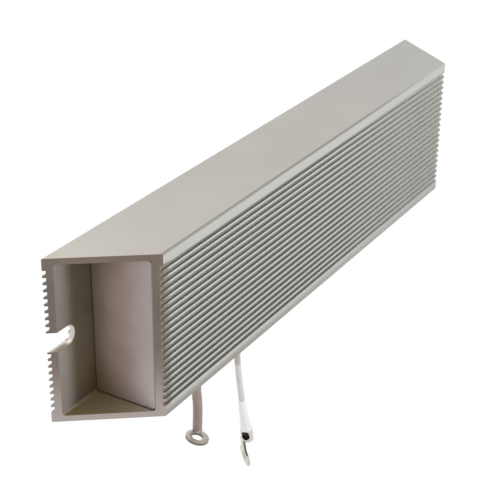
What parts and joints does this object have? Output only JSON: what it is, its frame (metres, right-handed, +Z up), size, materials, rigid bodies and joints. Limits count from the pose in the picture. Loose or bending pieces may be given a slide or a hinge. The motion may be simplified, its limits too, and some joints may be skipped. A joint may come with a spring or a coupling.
{
  "type": "braking resistor",
  "caption": "Flat wire-wound braking resistor in a ribbed aluminium housing with oblique ends, open mounting slots and two hanging leads with ring terminals.",
  "frame": {"origin": "centre of the mounting side, on the plane of its rib tips", "axes": "+X along the housing away from the lead end, +Y out of the mounting side into the panel, +Z up with the leads hanging down"},
  "size_m": [0.265, 0.03, 0.1337],
  "materials": {
    "housing": "matte natural anodised",
    "end_plate": "mill",
    "mica": "pressed mica",
    "ceramic": "fired and cemented",
    "resistance_alloy": "drawn strip",
    "tinned_copper": "tin plated",
    "white_insulation": "silicone",
    "taupe_sleeving": "varnished woven sleeving"
  },
  "bodies": {
    "root": {"housing": "housing", "near_end_plate": "end_plate", "far_end_plate": "end_plate", "near_end_insulator": "mica", "far_end_insulator": "mica", "near_former_support": "ceramic", "far_former_support": "ceramic", "winding_former": "mica", "resistance_winding": "resistance_alloy", "mica_sleeve": "mica", "filler": "ceramic", "near_terminal_bar": "resistance_alloy", "far_terminal_bar": "resistance_alloy", "lead_1_root": "white_insulation", "lead_1_crimp": "tinned_copper", "lead_1_bushing": "white_insulation", "lead_2_root": "white_insulation", "lead_2_crimp": "tinned_copper", "lead_2_bushing": "white_insulation", "lead_1": "taupe_sleeving", "lead_1_terminal": "tinned_copper", "lead_2": "white_insulation", "lead_2_boot": "white_insulation", "lead_2_terminal": "tinned_copper"}
  },
  "joints": []
}
